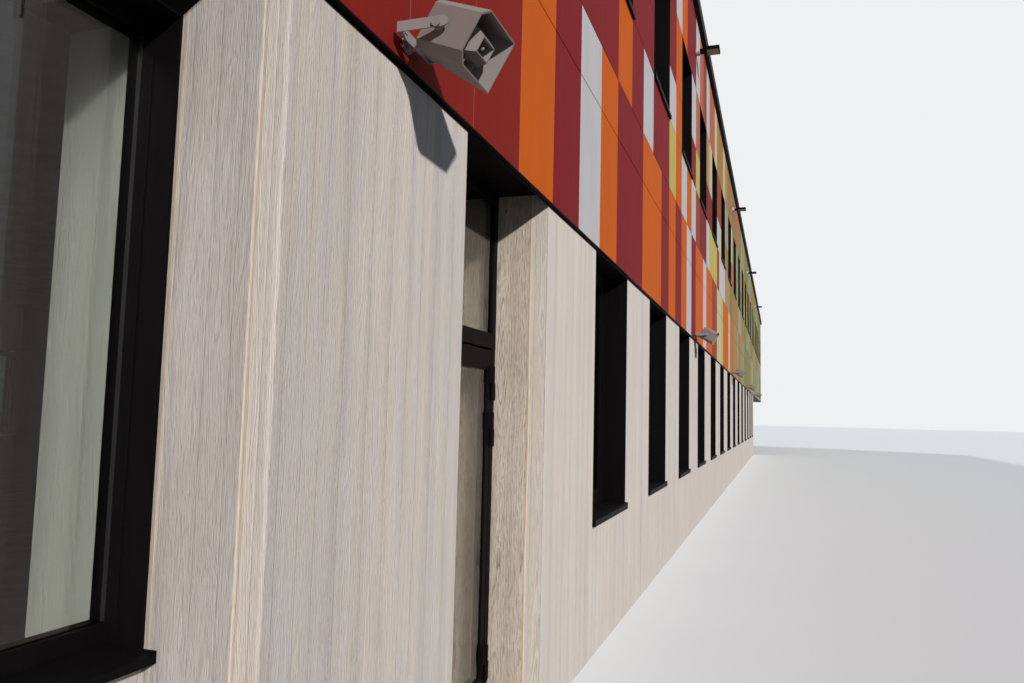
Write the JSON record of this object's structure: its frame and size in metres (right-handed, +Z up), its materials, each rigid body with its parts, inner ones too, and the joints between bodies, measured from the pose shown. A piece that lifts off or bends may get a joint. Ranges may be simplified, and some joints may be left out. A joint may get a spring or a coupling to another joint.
{
  "type": "school building, half-size scale model",
  "caption": "Long two-storey school block: pale concrete ground floor with a glazed door, overhanging clad upper floor in coloured panels, window rows, horns and floodlights.",
  "frame": {"origin": "centre of the bounding box's footprint, at ground level", "axes": "+X along the front towards the overhanging end, front faces -Y, +Z up"},
  "size_m": [28.22, 8.365, 4.075],
  "materials": {
    "concrete": "board-marked, pale",
    "panels": "matt facade boards",
    "dark_metal": "satin black",
    "glass": "clear",
    "steel": "brushed",
    "grey_metal": "satin grey",
    "grey_plastic": "satin grey"
  },
  "bodies": {
    "root": {"ground_slab": "concrete", "front_wall_near": "concrete", "front_wall_far": "concrete", "front_edge_beam": "concrete", "overhang_end_beam": "concrete", "undercroft_return_wall": "concrete", "undercroft_wall": "concrete", "end_wall_near": "concrete", "end_wall_far": "concrete", "rear_wall": "concrete", "upper_floor_slab": "concrete", "upper_front_wall": "concrete", "upper_rear_wall": "concrete", "upper_end_wall_near": "concrete", "upper_end_wall_far": "concrete", "roof_slab": "concrete", "parapet": "concrete", "roof_edge_cap": "dark_metal", "front_cladding": "panels", "rear_cladding": "panels", "end_cladding_near": "panels", "end_cladding_far": "panels", "base_strip": "dark_metal", "overhang_soffit": "dark_metal", "recess_soffits": "dark_metal", "ground_window_frames": "dark_metal", "ground_window_glass": "glass", "ground_window_sills": "dark_metal", "ground_window_linings": "dark_metal", "upper_window_frames": "dark_metal", "upper_window_glass": "glass", "upper_window_sills": "dark_metal", "upper_window_linings": "dark_metal", "recess_window_frame": "dark_metal", "recess_window_glass": "glass", "recess_window_lining": "dark_metal", "recess_window_sill": "dark_metal", "door_threshold": "concrete", "door_frame": "dark_metal", "door_top_light": "glass", "horn_brackets": "grey_metal", "floodlight_boxes": "grey_metal", "floodlight_arms": "dark_metal", "floodlight_heads": "dark_metal", "floodlight_glass": "glass"},
    "door": {"door_leaf": "dark_metal", "door_glass": "glass", "door_handles": "steel"},
    "horn_1_body": {"horn_1": "grey_plastic"},
    "horn_2_body": {"horn_2": "grey_plastic"},
    "horn_3_body": {"horn_3": "grey_plastic"},
    "horn_4_body": {"horn_4": "grey_plastic"},
    "horn_5_body": {"horn_5": "grey_plastic"}
  },
  "joints": [
    {"name": "door_hinge", "type": "hinge", "parent": "root", "child": "door", "pos_m": [-11.5915, -3.846, 0], "axis": [0, 0, 1], "range_deg": [0, 90]},
    {"name": "horn_1_tilt", "type": "hinge", "parent": "root", "child": "horn_1_body", "pos_m": [-12.5105, -4.087, 1.456], "axis": [1, 0, 0], "range_deg": [-29, 12]},
    {"name": "horn_2_tilt", "type": "hinge", "parent": "root", "child": "horn_2_body", "pos_m": [-7.5105, -4.087, 1.456], "axis": [1, 0, 0], "range_deg": [-29, 12]},
    {"name": "horn_3_tilt", "type": "hinge", "parent": "root", "child": "horn_3_body", "pos_m": [-2.5105, -4.087, 1.456], "axis": [1, 0, 0], "range_deg": [-29, 12]},
    {"name": "horn_4_tilt", "type": "hinge", "parent": "root", "child": "horn_4_body", "pos_m": [2.4895, -4.087, 1.456], "axis": [1, 0, 0], "range_deg": [-29, 12]},
    {"name": "horn_5_tilt", "type": "hinge", "parent": "root", "child": "horn_5_body", "pos_m": [7.4895, -4.087, 1.456], "axis": [1, 0, 0], "range_deg": [-29, 12]}
  ]
}
